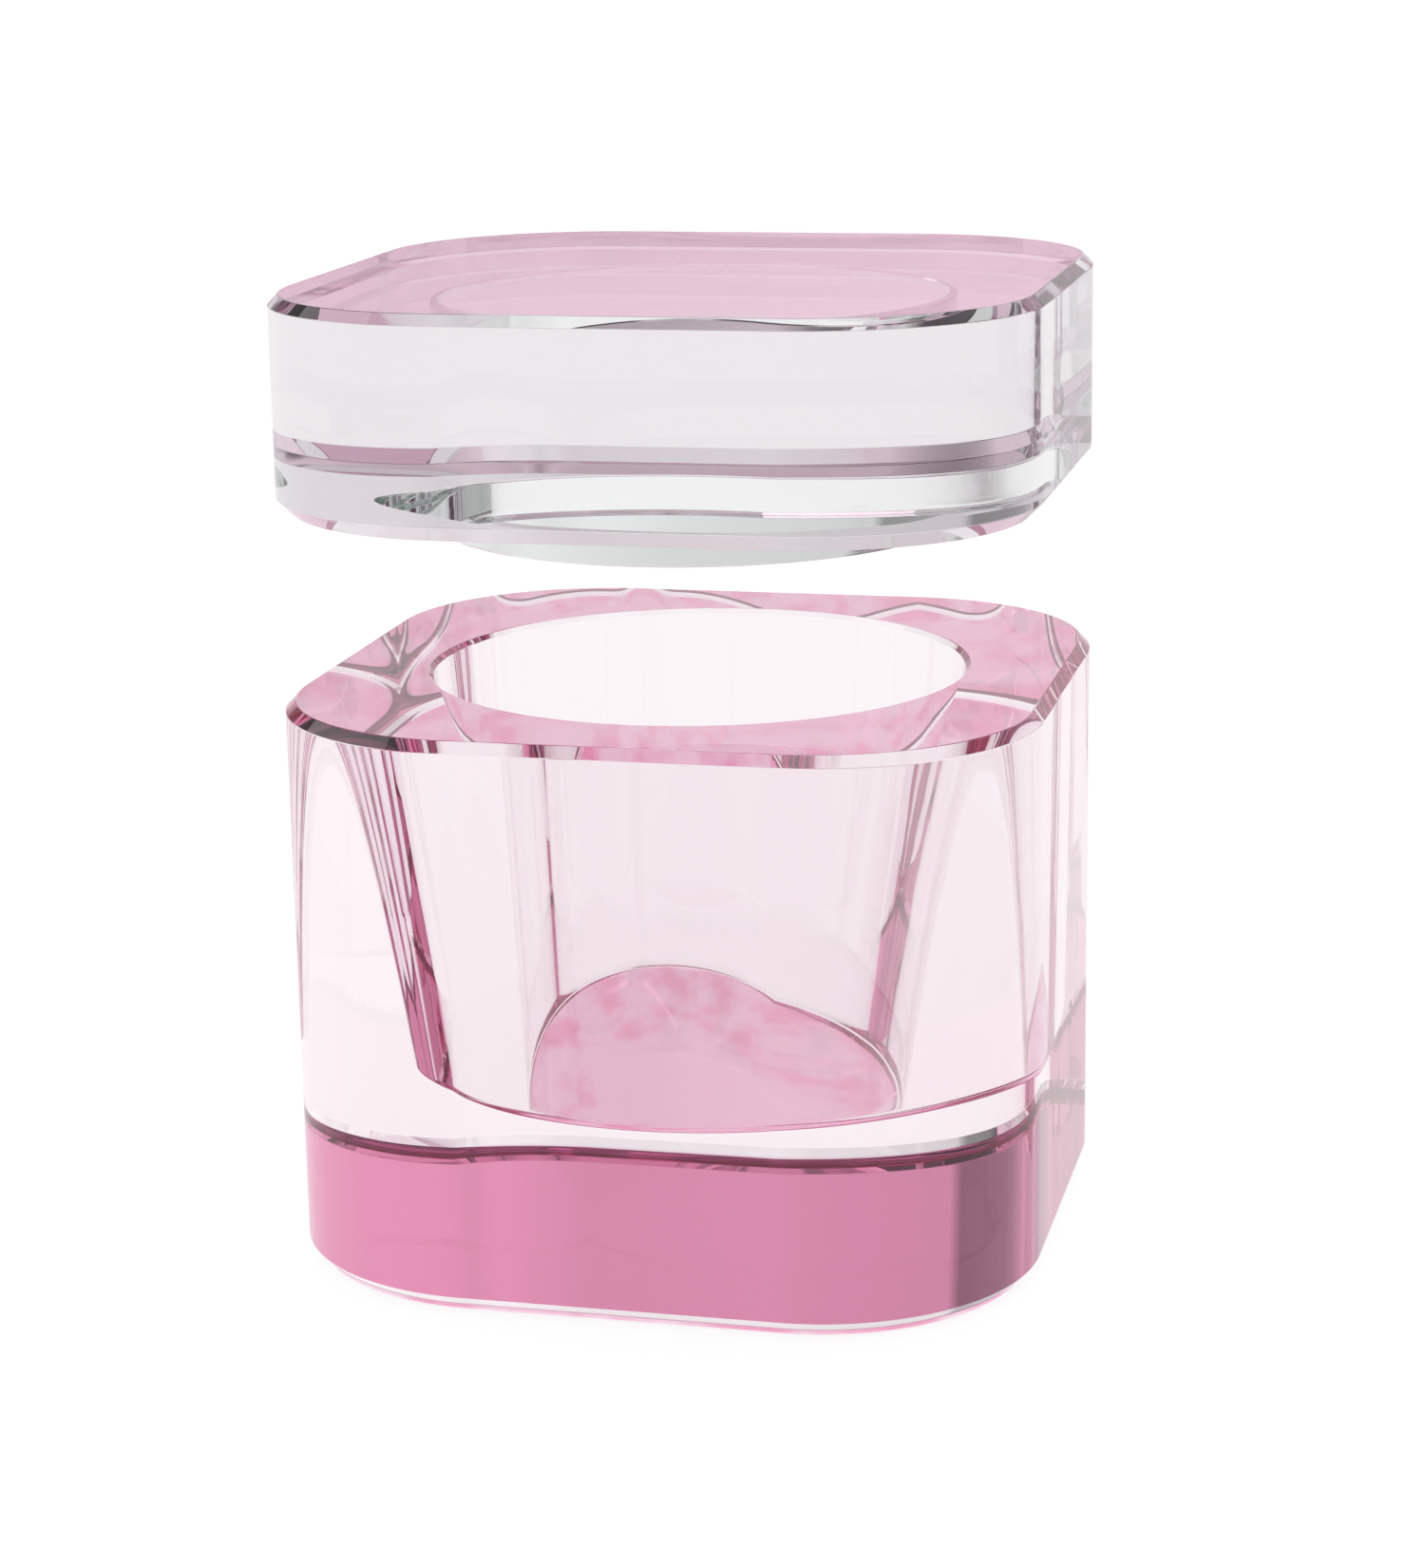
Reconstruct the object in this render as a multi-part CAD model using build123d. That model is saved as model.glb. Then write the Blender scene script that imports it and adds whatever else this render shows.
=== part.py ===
from build123d import *
import os

# A dappen dish for nail liquid: a solid square block of crystal glass with a round well and a
# coloured, lacquered base, and a loose slab lid that a bonded disc centres in the well.
# Millimetres. +Z is up, the base lies on Z = 0, and the well's axis is the Z axis.
# The lid is stored held straight above the dish, as it is while the well is filled.

# Outline shared by the dish and its lid
SIDE = 50.0  # width and depth of both blocks
CORNER_RADIUS = 14.5  # their four upright corners
TOP_BEVEL = 0.7  # 45 degree polished bevel round each block's top edge
BOTTOM_BEVEL = 1.0  # the same round each block's bottom edge

# Dish
DISH_HEIGHT = 38.0  # from the table to the rim
WELL_MOUTH_DIAMETER = 36.0  # the well narrows evenly from its mouth to its floor
WELL_FLOOR_DIAMETER = 32.4
WELL_FLOOR = 11.0  # glass left under the well
WELL_RIM_BEVEL = 0.3  # breaks the well's upper edge
WELL_FLOOR_FILLET = 0.8  # where the well's wall meets its floor
COLOUR_COAT = 0.1  # tinted coat on the flat of the glass base
PROTECTIVE_COAT = 0.1  # clear lacquer over the tint, which meets the table

# Lid
LID_HEIGHT = 14.0
DISC_CLEARANCE = 0.4  # between the seated disc's lower edge and the wall of the well
DISC_THICKNESS = 2.5
DISC_BEVEL = 0.2  # breaks the disc's lower edge
BOND_LAYER = 0.1  # adhesive between the lid and its disc
BOND_INSET = 0.5  # the adhesive stops this far inside the disc's edge
LID_LIFT = 12.5  # how far the stored lid is above its seat on the rim

# Sizes and places that follow from those above
GLASS_BASE = PROTECTIVE_COAT + COLOUR_COAT  # height of the dish block's underside
LID_UNDERSIDE = DISH_HEIGHT + LID_LIFT
DISC_TOP = LID_UNDERSIDE - BOND_LAYER
WELL_DEPTH = DISH_HEIGHT - GLASS_BASE - WELL_FLOOR
WELL_TAPER = (WELL_MOUTH_DIAMETER - WELL_FLOOR_DIAMETER) / WELL_DEPTH
SEATED_DISC_DEPTH = BOND_LAYER + DISC_THICKNESS
WELL_AT_DISC = WELL_MOUTH_DIAMETER - WELL_TAPER * SEATED_DISC_DEPTH
DISC_DIAMETER = WELL_AT_DISC - 2 * DISC_CLEARANCE


def raised(solid, height):
    """The solid moved straight up to stand at that height."""
    return Pos(0, 0, height) * solid


def round_plate(diameter, thickness):
    """A round plate standing on Z = 0."""
    return extrude(Circle(diameter / 2), thickness)


def square_plate(inset, thickness):
    """A plate of the shared outline, drawn in by the inset, standing on Z = 0."""
    side = SIDE - 2 * inset
    return extrude(RectangleRounded(side, side, CORNER_RADIUS - inset), thickness)


def bottom_edges(solid):
    return solid.faces().sort_by(Axis.Z)[0].edges()


def top_edges(solid):
    return solid.faces().sort_by(Axis.Z)[-1].edges()


def bevelled_block(height):
    """A block of the shared outline with both its rims bevelled, standing on Z = 0."""
    block = square_plate(0, height)
    block = chamfer(top_edges(block), TOP_BEVEL)
    return chamfer(bottom_edges(block), BOTTOM_BEVEL)


def dish_block():
    """The glass block with the well cut down into it."""
    well = Cone(WELL_FLOOR_DIAMETER / 2, WELL_MOUTH_DIAMETER / 2, WELL_DEPTH)
    well = fillet(bottom_edges(well), WELL_FLOOR_FILLET)
    block = bevelled_block(DISH_HEIGHT - GLASS_BASE) - raised(well, WELL_FLOOR + WELL_DEPTH / 2)
    mouth = top_edges(block).filter_by(GeomType.CIRCLE).sort_by(SortBy.LENGTH)[-1]
    return raised(chamfer(mouth, WELL_RIM_BEVEL), GLASS_BASE)


def base_colour_coat():
    """The tint on the flat of the glass base, inside its bevel."""
    return raised(square_plate(BOTTOM_BEVEL, COLOUR_COAT), PROTECTIVE_COAT)


def base_protective_coat():
    """The lacquer that keeps the table from scratching the tint."""
    return square_plate(BOTTOM_BEVEL, PROTECTIVE_COAT)


def lid_block():
    """The slab that covers the dish."""
    return raised(bevelled_block(LID_HEIGHT), LID_UNDERSIDE)


def lid_locating_disc():
    """The disc under the lid that drops into the well and centres the lid."""
    disc = round_plate(DISC_DIAMETER, DISC_THICKNESS)
    disc = chamfer(bottom_edges(disc), DISC_BEVEL)
    return raised(disc, DISC_TOP - DISC_THICKNESS)


def lid_bond_layer():
    """The clear adhesive that holds the disc to the lid."""
    return raised(round_plate(DISC_DIAMETER - 2 * BOND_INSET, BOND_LAYER), DISC_TOP)


PIECES = (
    dish_block,
    base_colour_coat,
    base_protective_coat,
    lid_block,
    lid_locating_disc,
    lid_bond_layer,
)

os.makedirs("parts", exist_ok=True)
for piece in PIECES:
    export_step(piece(), f"parts/{piece.__name__}.step")
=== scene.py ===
import math

import bpy
from mathutils import Matrix, Vector


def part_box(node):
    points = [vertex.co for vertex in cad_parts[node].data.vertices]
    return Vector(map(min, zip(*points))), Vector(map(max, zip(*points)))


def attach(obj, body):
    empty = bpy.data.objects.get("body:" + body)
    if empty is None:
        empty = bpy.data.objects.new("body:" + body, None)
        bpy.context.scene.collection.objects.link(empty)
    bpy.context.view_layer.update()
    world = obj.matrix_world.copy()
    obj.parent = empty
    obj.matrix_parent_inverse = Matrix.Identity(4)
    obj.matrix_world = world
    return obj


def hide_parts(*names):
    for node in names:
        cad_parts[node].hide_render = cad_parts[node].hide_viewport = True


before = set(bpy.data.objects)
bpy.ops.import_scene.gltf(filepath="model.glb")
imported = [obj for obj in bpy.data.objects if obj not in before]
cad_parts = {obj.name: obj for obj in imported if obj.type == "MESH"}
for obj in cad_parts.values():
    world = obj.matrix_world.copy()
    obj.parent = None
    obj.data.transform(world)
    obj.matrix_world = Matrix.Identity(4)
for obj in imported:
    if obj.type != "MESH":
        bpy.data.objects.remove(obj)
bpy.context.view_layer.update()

MM = 0.001

HALF_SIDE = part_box("dish_block")[1].x  # both blocks have the same outline
OBJECT_MIDDLE = Vector((0, 0, 30 * MM))

# Sizes that the boxes of the frame's nodes don't give, in metres
CORNER_RADIUS = 14.5 * MM  # upright corners of both blocks
TOP_BEVEL = 0.7 * MM
BOTTOM_BEVEL = 1.0 * MM
WELL_MOUTH_RADIUS = 18.0 * MM  # the well narrows evenly from its mouth to its floor
WELL_FLOOR_RADIUS = 16.2 * MM
WELL_FLOOR = 11.0 * MM  # glass under the well
WELL_RIM_BEVEL = 0.3 * MM
WELL_FLOOR_FILLET = 0.8 * MM
DISC_BEVEL = 0.2 * MM
ARRIS = 0.12 * MM  # radius that polishing has given each cut edge
BASE_ARRIS = 1.5 * MM  # the same where the dish's bottom bevel meets the flat of its base
FLAT_MARGIN = 3 * ARRIS  # first stretch of a flat face, beside its softened edge
HAIR = 0.005 * MM  # keeps faces that touch from lying in one plane
SEAT_GAP = 0.02 * MM  # air left between the lid and the dish's rim when the lid is down

CORNER_STEPS = 64  # points along each quarter of an outline
ARC_STEPS = 5  # bands along each softened edge
QUARTER_TURN = math.radians(90)

GLASS_IOR = 1.52
PINK_MIRROR = (0.80, 0.30, 0.49)  # what the dish's colour coat mirrors back into the glass
PINK_WINDOW = (0.99, 0.86, 0.93)  # what a straight look through it lets pass
SHADED_EDGE_MIRROR = (0.36, 0.07, 0.18)  # coat pink darkened as painted shade, the dark line where the base's flat turns up
LID_MIRROR = (0.88, 0.62, 0.75)  # the same two for the fainter colour on top of the lid
LID_WINDOW = (0.94, 0.78, 0.86)

# Patterns in the surfaces: how many features there are in a metre, and how deep they are
SWELLS = 90  # slow swells that polishing leaves
CUTTER_MARKS = 420  # fine upright marks from cutting the well
CUTTER_STRETCH = (1, 1, 0.12)  # makes them long
CLOUDS = 150  # changes in the thickness of the sprayed colour
ORANGE_PEEL = 1500
SWELL_DEPTH = 0.003 * MM
BLOCK_SWELL_DEPTH = 0.004 * MM
WELL_SWELL_DEPTH = 0.010 * MM
CUTTER_DEPTH = 0.0025 * MM
ORANGE_PEEL_DEPTH = 0.01 * MM

COAT_THICK_AT, COAT_THIN_AT = 0.35, 0.62  # where the cloud pattern counts as thick and as thin
COAT_FADE = 20.0 * MM  # the sprayed colour is thinner within this distance of the middle
COAT_FADE_STRENGTH = 0.25


# ---------------------------------------------------------------- profiles and outlines

def right_of(direction):
    return Vector((direction.y, -direction.x))


def softened(corners, radii):
    """Points and outward normals along a line through the corners, with each inner corner
    rounded to its radius. A corner is (reach, height), and the solid is on the line's left."""
    points = [Vector(c) for c in corners]
    legs = [(b - a).normalized() for a, b in zip(points, points[1:])]
    path = [(points[0], right_of(legs[0]))]
    for corner, before, after, radius in zip(points[1:], legs, legs[1:], radii):
        turn = math.atan2(before.cross(after), before.dot(after))  # to the left is positive
        side = math.copysign(1, turn)
        start = corner - before * radius * math.tan(abs(turn) / 2)
        centre = start - right_of(before) * radius * side
        for step in range(ARC_STEPS + 1):
            normal = Matrix.Rotation(turn * step / ARC_STEPS, 2) @ right_of(before)
            path.append((centre + normal * radius * side, normal))
    path.append((points[-1], right_of(legs[-1])))
    return path


def cushion_outline(half_side, corner_radius):
    """Points and outward normals round a square with rounded corners."""
    ring = []
    for quarter in range(4):
        middle = QUARTER_TURN * (quarter + 0.5)
        corner = Vector((math.copysign(1, math.cos(middle)), math.copysign(1, math.sin(middle)), 0))
        centre = corner * (half_side - corner_radius)
        for step in range(CORNER_STEPS):
            angle = QUARTER_TURN * (quarter + step / (CORNER_STEPS - 1))
            normal = Vector((math.cos(angle), math.sin(angle), 0))
            ring.append((centre + normal * corner_radius, normal))
    return ring


def round_outline(radius):
    """Points and outward normals round a circle, as many as a cushion outline has."""
    ring = []
    for step in range(4 * CORNER_STEPS):
        angle = QUARTER_TURN * (step + 0.5) / CORNER_STEPS
        normal = Vector((math.cos(angle), math.sin(angle), 0))
        ring.append((normal * radius, normal))
    return ring


def rings_along(path, outline):
    """One ring of points and normals for each point of a path."""
    rings = []
    for (reach, height), (out, up) in path:
        lift, tilt = Vector((0, 0, height)), Vector((0, 0, up))
        rings.append([(point + lift, normal * out + tilt) for point, normal in outline(reach)])
    return rings


def skin(name, rings, slots, materials):
    """A closed mesh through the rings, capped at both ends. slots gives the material of the
    first cap, of each band between two rings, and of the last cap."""
    count = len(rings[0])
    points = [point for ring in rings for point, _ in ring]
    normals = [normal for ring in rings for _, normal in ring]
    faces = [tuple(reversed(range(count)))]
    for band in range(len(rings) - 1):
        low, high = band * count, (band + 1) * count
        for a in range(count):
            b = (a + 1) % count
            faces.append((low + a, low + b, high + b, high + a))
    faces.append(tuple(range((len(rings) - 1) * count, len(rings) * count)))
    mesh = bpy.data.meshes.new(name)
    mesh.from_pydata(points, [], faces)
    for material in materials:
        mesh.materials.append(material)
    slot_of = [slots[0]] + [s for s in slots[1:-1] for _ in range(count)] + [slots[-1]]
    mesh.polygons.foreach_set("material_index", slot_of)
    mesh.shade_smooth()
    mesh.normals_split_custom_set_from_vertices(normals)
    piece = bpy.data.objects.new(name, mesh)
    bpy.context.scene.collection.objects.link(piece)
    return piece


# ---------------------------------------------------------------- materials

def new_material(name):
    """An empty node material, with its node tree and its output."""
    material = bpy.data.materials.new(name)
    material.use_nodes = True
    tree = material.node_tree
    tree.nodes.clear()
    output = tree.nodes.new("ShaderNodeOutputMaterial")
    return material, tree, output


def noise(tree, scale, detail=2.0, stretch=(1, 1, 1)):
    """A noise in the piece's own coordinates. scale is in features per metre."""
    coordinates = tree.nodes.new("ShaderNodeTexCoord")
    mapping = tree.nodes.new("ShaderNodeMapping")
    mapping.inputs["Scale"].default_value = stretch
    texture = tree.nodes.new("ShaderNodeTexNoise")
    texture.inputs["Scale"].default_value = scale
    texture.inputs["Detail"].default_value = detail
    tree.links.new(coordinates.outputs["Object"], mapping.inputs["Vector"])
    tree.links.new(mapping.outputs["Vector"], texture.inputs["Vector"])
    return texture.outputs["Fac"]


def bump(tree, height, depth, below=None):
    """A bump whose height pattern is depth metres from lowest to highest."""
    node = tree.nodes.new("ShaderNodeBump")
    node.inputs["Strength"].default_value = 1.0
    node.inputs["Distance"].default_value = depth
    tree.links.new(height, node.inputs["Height"])
    if below is not None:
        tree.links.new(below, node.inputs["Normal"])
    return node.outputs["Normal"]


def glass(name, colour, waviness, ripple=0.0):
    """Clear polished glass. waviness is the depth of its slow swells from polishing, and
    ripple the depth of the fine upright marks that a cutting tool leaves."""
    material, tree, output = new_material(name)
    shader = tree.nodes.new("ShaderNodeBsdfGlass")
    shader.inputs["Color"].default_value = (*colour, 1)
    shader.inputs["IOR"].default_value = GLASS_IOR
    shader.inputs["Roughness"].default_value = 0.0
    normal = bump(tree, noise(tree, SWELLS), waviness)
    if ripple:
        normal = bump(tree, noise(tree, CUTTER_MARKS, stretch=CUTTER_STRETCH), ripple, normal)
    tree.links.new(normal, shader.inputs["Normal"])
    tree.links.new(shader.outputs["BSDF"], output.inputs["Surface"])
    return material


def tinted_glass(name, mirrored, passed):
    """A polished glass face with a thin clear colour on it. A ray that is mirrored inside
    crosses the colour twice at a slant, so it takes more of it than one that passes out."""
    material, tree, output = new_material(name)
    edge = tree.nodes.new("ShaderNodeFresnel")
    edge.inputs["IOR"].default_value = GLASS_IOR
    window = tree.nodes.new("ShaderNodeBsdfRefraction")
    window.inputs["Color"].default_value = (*passed, 1)
    window.inputs["IOR"].default_value = GLASS_IOR
    window.inputs["Roughness"].default_value = 0.0
    mirror = tree.nodes.new("ShaderNodeBsdfAnisotropic")
    mirror.inputs["Color"].default_value = (*mirrored, 1)
    mirror.inputs["Roughness"].default_value = 0.0
    both = tree.nodes.new("ShaderNodeMixShader")
    normal = bump(tree, noise(tree, SWELLS), SWELL_DEPTH)
    for node in (edge, window, mirror):
        tree.links.new(normal, node.inputs["Normal"])
    tree.links.new(edge.outputs["Fac"], both.inputs["Fac"])
    tree.links.new(window.outputs["BSDF"], both.inputs[1])
    tree.links.new(mirror.outputs["BSDF"], both.inputs[2])
    tree.links.new(both.outputs["Shader"], output.inputs["Surface"])
    return material


def bonded():
    """A face that clear adhesive joins to the next piece, so that light goes straight through."""
    material, tree, output = new_material("bonded_face")
    shader = tree.nodes.new("ShaderNodeBsdfTransparent")
    tree.links.new(shader.outputs["BSDF"], output.inputs["Surface"])
    return material


def coat(name, thin, thick, milkiness):
    """A sprayed coat that is partly milky and partly clear, thinnest in the middle, with
    cloudy changes of thickness and the fine orange peel of a sprayed surface."""
    material, tree, output = new_material(name)
    ramp = tree.nodes.new("ShaderNodeValToRGB")
    ramp.color_ramp.interpolation = "EASE"
    low, high = ramp.color_ramp.elements
    low.position, low.color = COAT_THICK_AT, (*thick, 1)
    high.position, high.color = COAT_THIN_AT, (*thin, 1)
    coordinates = tree.nodes.new("ShaderNodeTexCoord")
    across = tree.nodes.new("ShaderNodeMapping")
    across.inputs["Scale"].default_value = (1 / COAT_FADE, 1 / COAT_FADE, 0)
    middle = tree.nodes.new("ShaderNodeTexGradient")
    middle.gradient_type = "SPHERICAL"
    thinness = tree.nodes.new("ShaderNodeMath")
    thinness.operation = "MULTIPLY_ADD"
    thinness.inputs[1].default_value = COAT_FADE_STRENGTH
    tree.links.new(coordinates.outputs["Object"], across.inputs["Vector"])
    tree.links.new(across.outputs["Vector"], middle.inputs["Vector"])
    tree.links.new(middle.outputs["Fac"], thinness.inputs[0])
    tree.links.new(noise(tree, CLOUDS, detail=5.0), thinness.inputs[2])
    tree.links.new(thinness.outputs["Value"], ramp.inputs["Fac"])
    milk = tree.nodes.new("ShaderNodeBsdfPrincipled")
    milk.inputs["Roughness"].default_value = 0.35
    milk.inputs["Coat Weight"].default_value = 0.6
    milk.inputs["Coat Roughness"].default_value = 0.08
    tree.links.new(bump(tree, noise(tree, ORANGE_PEEL), ORANGE_PEEL_DEPTH), milk.inputs["Normal"])
    clear = tree.nodes.new("ShaderNodeBsdfTransparent")
    both = tree.nodes.new("ShaderNodeMixShader")
    both.inputs["Fac"].default_value = milkiness
    tree.links.new(ramp.outputs["Color"], milk.inputs["Base Color"])
    tree.links.new(ramp.outputs["Color"], clear.inputs["Color"])
    tree.links.new(clear.outputs["BSDF"], both.inputs[1])
    tree.links.new(milk.outputs["BSDF"], both.inputs[2])
    tree.links.new(both.outputs["Shader"], output.inputs["Surface"])
    return material


POLISHED = glass("dish_polished", (0.965, 0.925, 0.942), BLOCK_SWELL_DEPTH)
GROUND = glass("dish_well", (0.955, 0.938, 0.946), WELL_SWELL_DEPTH, ripple=CUTTER_DEPTH)
TINTED = tinted_glass("dish_tinted_face", PINK_MIRROR, PINK_WINDOW)
# painted shade: a darker pink mirror on the softened edge of the base
TINTED_SHADED_EDGE = tinted_glass("dish_tinted_edge_painted_shade", SHADED_EDGE_MIRROR, PINK_WINDOW)
LID_POLISHED = glass("lid_polished", (0.88, 0.862, 0.875), BLOCK_SWELL_DEPTH)
LID_TINTED = tinted_glass("lid_tinted_face", LID_MIRROR, LID_WINDOW)
DISC_POLISHED = glass("disc_polished", (0.93, 0.955, 0.945), SWELL_DEPTH)
BONDED = bonded()
ADHESIVE = glass("adhesive", (0.98, 0.98, 0.97), SWELL_DEPTH)
COLOUR_COAT = coat("colour_coat", (1.0, 0.87, 0.94), (0.98, 0.64, 0.79), 0.04)
LACQUER = glass("clear_lacquer", (0.99, 0.95, 0.97), SWELL_DEPTH)


# ---------------------------------------------------------------- the pieces

def block_path(low, high, base_arris):
    """The outer profile of a bevelled block, from its bottom flat to its top flat."""
    corners = [
        (-BOTTOM_BEVEL - base_arris, low),
        (-BOTTOM_BEVEL, low),
        (0, low + BOTTOM_BEVEL),
        (0, high - TOP_BEVEL),
        (-TOP_BEVEL, high),
        (-TOP_BEVEL - FLAT_MARGIN, high),
    ]
    return softened(corners, [base_arris, ARRIS, ARRIS, ARRIS])


def shared_outline(reach):
    """The outline of both blocks, grown by the reach."""
    return cushion_outline(HALF_SIDE + reach, CORNER_RADIUS + reach)


def block_rings(low, high, base_arris):
    return rings_along(block_path(low.z, high.z, base_arris), shared_outline)


def flat_ring(radius, height, up):
    """A single ring on a flat face."""
    return rings_along([(Vector((radius, height)), Vector((0, up)))], round_outline)


def dish_glass():
    low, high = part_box("dish_block")
    outside = block_rings(low, high, BASE_ARRIS)
    well_floor = low.z + WELL_FLOOR
    slope = (WELL_MOUTH_RADIUS - WELL_FLOOR_RADIUS) / (high.z - well_floor)
    corners = [
        (WELL_MOUTH_RADIUS + WELL_RIM_BEVEL + FLAT_MARGIN, high.z),
        (WELL_MOUTH_RADIUS + WELL_RIM_BEVEL, high.z),
        (WELL_MOUTH_RADIUS - slope * WELL_RIM_BEVEL, high.z - WELL_RIM_BEVEL),
        (WELL_FLOOR_RADIUS, well_floor),
        (WELL_FLOOR_RADIUS - 2 * WELL_FLOOR_FILLET, well_floor),
    ]
    inside = rings_along(softened(corners, [ARRIS, ARRIS, WELL_FLOOR_FILLET]), round_outline)
    polished, tinted, ground, edge = 0, 1, 2, 3
    flats = 2  # the cap and the band between it and the softened edge of the base
    # the softened edge of the base takes the darkened pink mirror, a painted shade line
    slots = [tinted] * flats + [edge] * ARC_STEPS
    slots += [polished] * (len(outside) - ARC_STEPS - 1) + [ground] * len(inside)
    piece = skin("dish_glass", outside + inside, slots, [POLISHED, TINTED, GROUND, TINTED_SHADED_EDGE])
    place(piece, "dish", "dish_block")


def thin_plate(low_z, high_z, reach, outline):
    """Rings for a thin plate, a hair clear of what is below and above it, and the slots that
    give its rim the first material and its two wide faces the second."""
    low_z, high_z = low_z + HAIR, high_z - HAIR
    corners = [(reach - ARRIS, low_z), (reach, low_z), (reach, high_z), (reach - ARRIS, high_z)]
    rings = rings_along(softened(corners, [2 * HAIR] * 2), outline)
    rim, wide = 0, 1
    slots = [wide, wide] + [rim] * (len(rings) - 3) + [wide, wide]
    return rings, slots


def base_coat(name, node, rim, wide):
    """A coat on the flat of the dish's base, inside its bevel."""
    low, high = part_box(node)
    rings, slots = thin_plate(low.z, high.z, -BOTTOM_BEVEL, shared_outline)
    piece = skin(name, rings, slots, [rim, wide])
    place(piece, "dish", node)


def lid_glass():
    low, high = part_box("lid_block")
    bond_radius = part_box("lid_bond_layer")[1].x
    low.z += SEAT_GAP
    rings = flat_ring(bond_radius, low.z, -1) + block_rings(low, high, ARRIS)
    polished, tinted, joined = 0, 1, 2
    slots = [joined] + [polished] * (len(rings) - 2) + [tinted, tinted]
    piece = skin("lid_glass", rings, slots, [LID_POLISHED, LID_TINTED, BONDED])
    place(piece, "lid", "lid_block")


def locating_disc():
    low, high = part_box("lid_locating_disc")
    bond_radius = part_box("lid_bond_layer")[1].x
    radius = high.x
    corners = [
        (radius - DISC_BEVEL - FLAT_MARGIN, low.z),
        (radius - DISC_BEVEL, low.z),
        (radius, low.z + DISC_BEVEL),
        (radius, high.z),
        (bond_radius, high.z),
    ]
    rings = rings_along(softened(corners, [ARRIS / 2, ARRIS / 2, ARRIS]), round_outline)
    polished, joined = 0, 1
    slots = [polished] * len(rings) + [joined]
    piece = skin("locating_disc", rings, slots, [DISC_POLISHED, BONDED])
    place(piece, "lid", "lid_locating_disc")


def adhesive_bond():
    low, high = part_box("lid_bond_layer")
    rings, slots = thin_plate(low.z, high.z, high.x, round_outline)
    piece = skin("adhesive_bond", rings, slots, [ADHESIVE, BONDED])
    place(piece, "lid", "lid_bond_layer")


def place(piece, body, node):
    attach(piece, body)
    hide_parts(node)


dish_glass()
base_coat("colour_coat", "base_colour_coat", COLOUR_COAT, COLOUR_COAT)
base_coat("protective_coat", "base_protective_coat", LACQUER, BONDED)
lid_glass()
locating_disc()
adhesive_bond()


# ---------------------------------------------------------------- floor, light and camera

TABLE_HALF_SIDE = 60.0
TABLE_GLOW = 0.86
SKY_STRENGTH = 1.05
FLAG_STRENGTH = 0.04  # of the two dark flags up at the front
FLAG_MIDDLES = [(-0.55, -0.45, 0.70), (0.55, -0.45, 0.70)]
FLAG_FROM, FLAG_TO = math.cos(math.radians(21)), math.cos(math.radians(15))  # their soft edge
# Brightness round the sky. 0 and 1 are at -X, 0.25 at the front, 0.5 at +X, 0.75 behind.
SKY_PANELS = [
    (0.00, 0.80), (0.10, 0.80), (0.16, 0.95), (0.25, 0.55), (0.34, 0.95), (0.40, 0.80),
    (0.50, 0.95), (0.58, 0.60), (0.65, 1.00), (0.714, 1.00), (0.735, 0.90), (0.755, 0.98),
    (0.80, 0.82), (0.860, 0.76), (0.866, 0.28), (0.93, 0.32), (1.00, 0.80),
]


def floor():
    """A light table: white, lit evenly from below, and wide enough to meet the sky."""
    size = TABLE_HALF_SIDE
    mesh = bpy.data.meshes.new("floor")
    corners = [(-size, -size, 0), (size, -size, 0), (size, size, 0), (-size, size, 0)]
    mesh.from_pydata(corners, [], [(0, 1, 2, 3)])
    material, tree, output = new_material("pale_floor")
    shader = tree.nodes.new("ShaderNodeBsdfPrincipled")
    shader.inputs["Base Color"].default_value = (0.25, 0.25, 0.25, 1)
    shader.inputs["Roughness"].default_value = 0.7
    shader.inputs["Specular IOR Level"].default_value = 0.1
    shader.inputs["Emission Color"].default_value = (1, 1, 1, 1)
    shader.inputs["Emission Strength"].default_value = TABLE_GLOW
    material.cycles.emission_sampling = "NONE"  # it is too wide to sample as a lamp
    tree.links.new(shader.outputs["BSDF"], output.inputs["Surface"])
    mesh.materials.append(material)
    plane = bpy.data.objects.new("floor", mesh)
    bpy.context.scene.collection.objects.link(plane)


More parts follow.
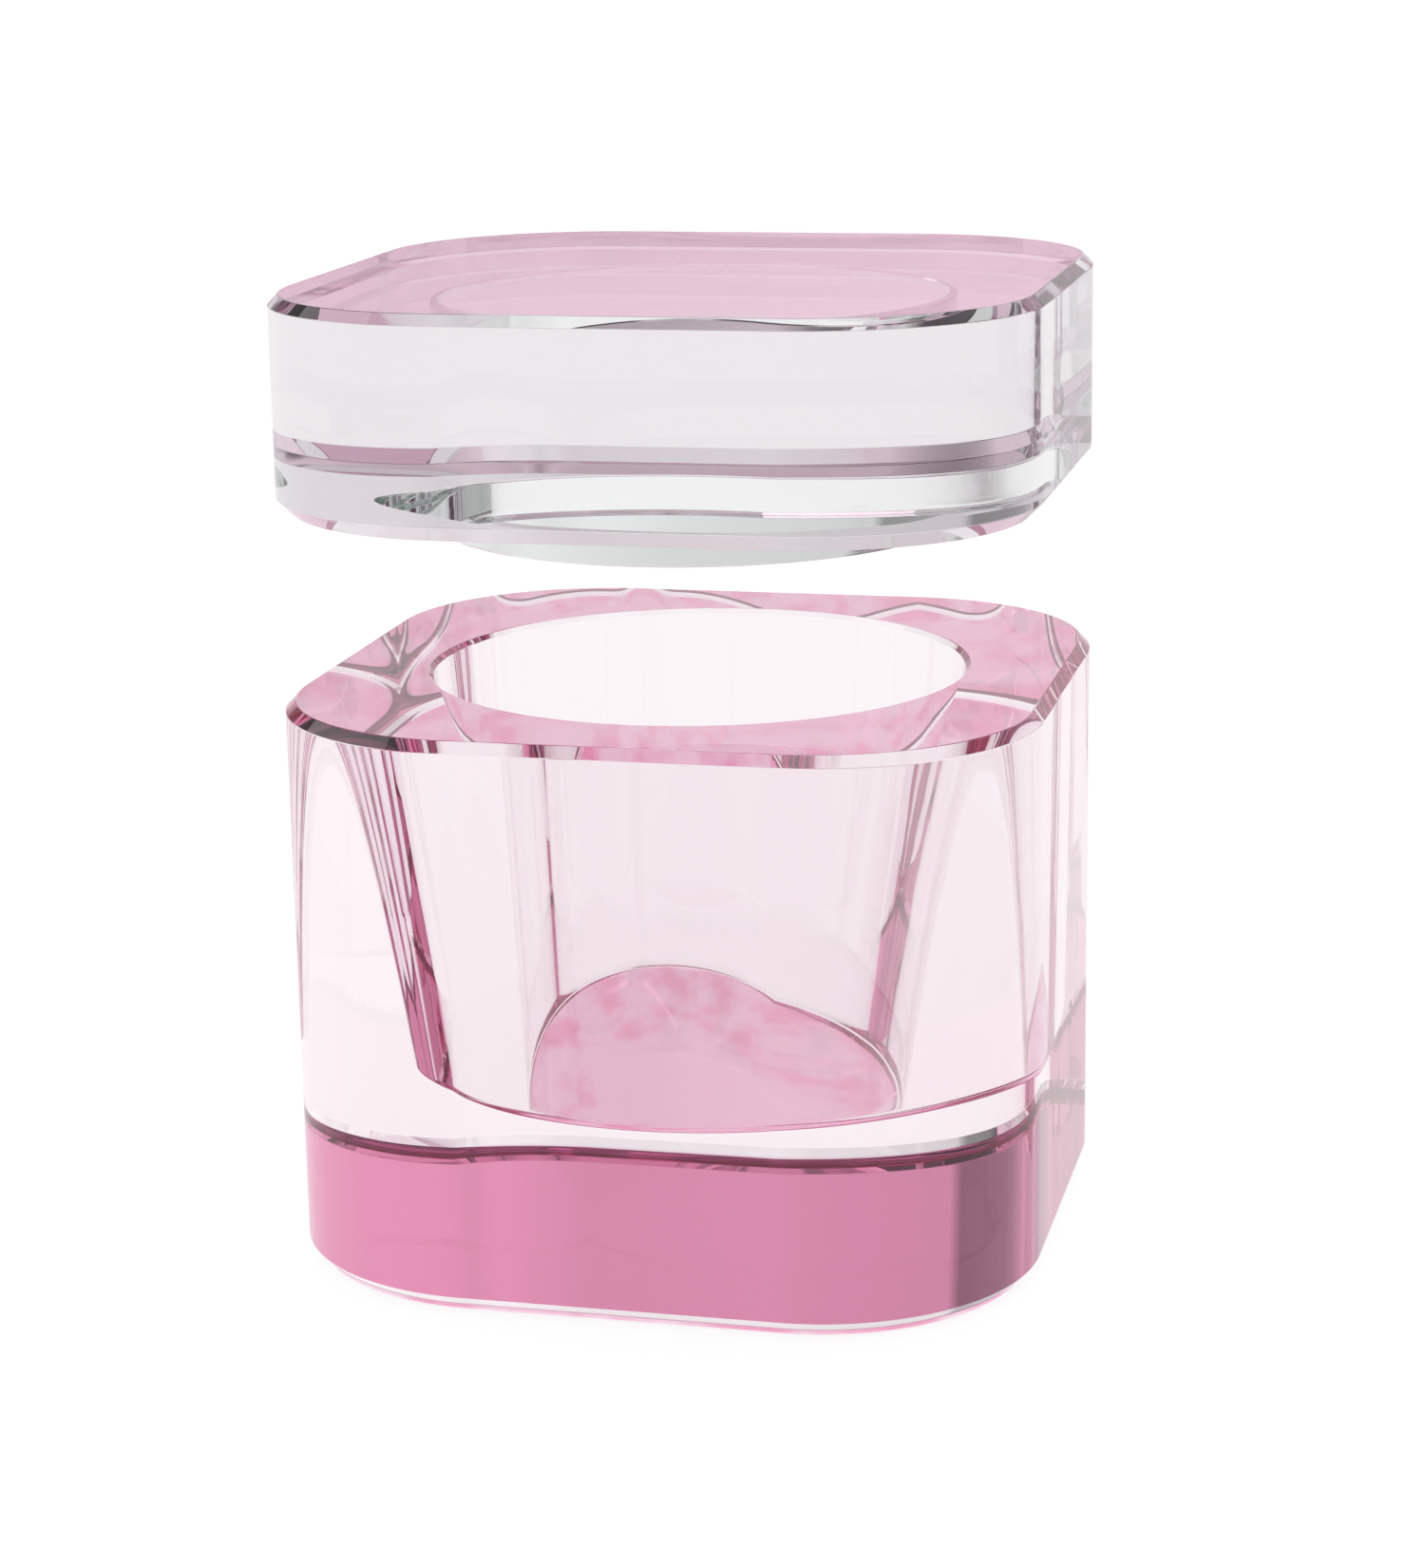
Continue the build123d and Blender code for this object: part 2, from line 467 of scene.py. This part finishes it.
def studio():
    """A white surround that is plain behind the object, with soft darker panels round it to
    draw the edges of clear glass. The camera itself sees plain white beyond the floor."""
    world = bpy.data.worlds.new("studio")
    bpy.context.scene.world = world
    world.use_nodes = True
    tree = world.node_tree
    tree.nodes.clear()
    output = tree.nodes.new("ShaderNodeOutputWorld")
    background = tree.nodes.new("ShaderNodeBackground")
    place_in_sky = tree.nodes.new("ShaderNodeTexCoord")
    round_sky = tree.nodes.new("ShaderNodeTexGradient")
    round_sky.gradient_type = "RADIAL"
    panels = tree.nodes.new("ShaderNodeValToRGB")
    stops = panels.color_ramp.elements
    for position, _ in SKY_PANELS[2:]:  # a ramp starts with two stops
        stops.new(position)
    for stop, (position, grey) in zip(stops, SKY_PANELS):
        stop.position, stop.color = position, (grey, grey, grey, 1)
    tree.links.new(place_in_sky.outputs["Generated"], round_sky.inputs["Vector"])
    tree.links.new(round_sky.outputs["Fac"], panels.inputs["Fac"])
    path = tree.nodes.new("ShaderNodeLightPath")
    seen = tree.nodes.new("ShaderNodeMix")
    seen.data_type = "RGBA"
    tree.links.new(path.outputs["Is Camera Ray"], seen.inputs["Factor"])
    tree.links.new(panels.outputs["Color"], seen.inputs["A"])
    seen.inputs["B"].default_value = (1, 1, 1, 1)
    tree.links.new(seen.outputs["Result"], background.inputs["Color"])
    nearest = tree.nodes.new("ShaderNodeMath")
    nearest.operation = "MAXIMUM"
    for middle, socket in zip(FLAG_MIDDLES, nearest.inputs):
        nearness = tree.nodes.new("ShaderNodeVectorMath")
        nearness.operation = "DOT_PRODUCT"
        nearness.inputs[1].default_value = middle
        tree.links.new(place_in_sky.outputs["Generated"], nearness.inputs[0])
        tree.links.new(nearness.outputs["Value"], socket)
    flags = tree.nodes.new("ShaderNodeMapRange")
    flags.inputs["From Min"].default_value = FLAG_FROM
    flags.inputs["From Max"].default_value = FLAG_TO
    flags.inputs["To Min"].default_value = SKY_STRENGTH
    flags.inputs["To Max"].default_value = FLAG_STRENGTH
    tree.links.new(nearest.outputs["Value"], flags.inputs["Value"])
    tree.links.new(flags.outputs["Result"], background.inputs["Strength"])
    tree.links.new(background.outputs["Background"], output.inputs["Surface"])


def softbox(name, position, size, power):
    """A square lamp that faces the middle of the object. Sizes are in metres, power in watts."""
    data = bpy.data.lights.new(name, "AREA")
    data.shape = "RECTANGLE"
    data.size, data.size_y, data.energy = size, size, power
    lamp = bpy.data.objects.new(name, data)
    lamp.location = position
    aim = OBJECT_MIDDLE - Vector(position)
    lamp.rotation_euler = aim.to_track_quat("-Z", "Y").to_euler()
    bpy.context.scene.collection.objects.link(lamp)


def camera():
    azimuth, elevation, roll = math.radians(13.64), math.radians(14.4), math.radians(-0.95)
    distance, aim = 0.2488, Vector((0.0007, 0.0002, 0.0295))
    back = Vector((
        math.sin(azimuth) * math.cos(elevation),
        -math.cos(azimuth) * math.cos(elevation),
        math.sin(elevation),
    ))
    data = bpy.data.cameras.new("camera")
    data.sensor_fit = "VERTICAL"
    data.sensor_height = 36.0
    data.lens = 83.6
    data.clip_start = 0.01
    viewer = bpy.data.objects.new("camera", data)
    turn = (-back).to_track_quat("-Z", "Y").to_matrix() @ Matrix.Rotation(roll, 3, "Z")
    viewer.matrix_world = Matrix.Translation(aim + back * distance) @ turn.to_4x4()
    bpy.context.scene.collection.objects.link(viewer)
    bpy.context.scene.camera = viewer


def light_paths():
    """Enough bounces for light that is mirrored many times inside the glass."""
    bounces = 32
    cycles = bpy.context.scene.cycles
    cycles.max_bounces = bounces
    cycles.transmission_bounces = bounces
    cycles.glossy_bounces = bounces
    cycles.transparent_max_bounces = bounces


floor()
studio()
softbox("key", (-2.6, 0.6, 2.2), size=2.0, power=14.0)
camera()
light_paths()
bpy.context.scene.view_settings.view_transform = "Standard"
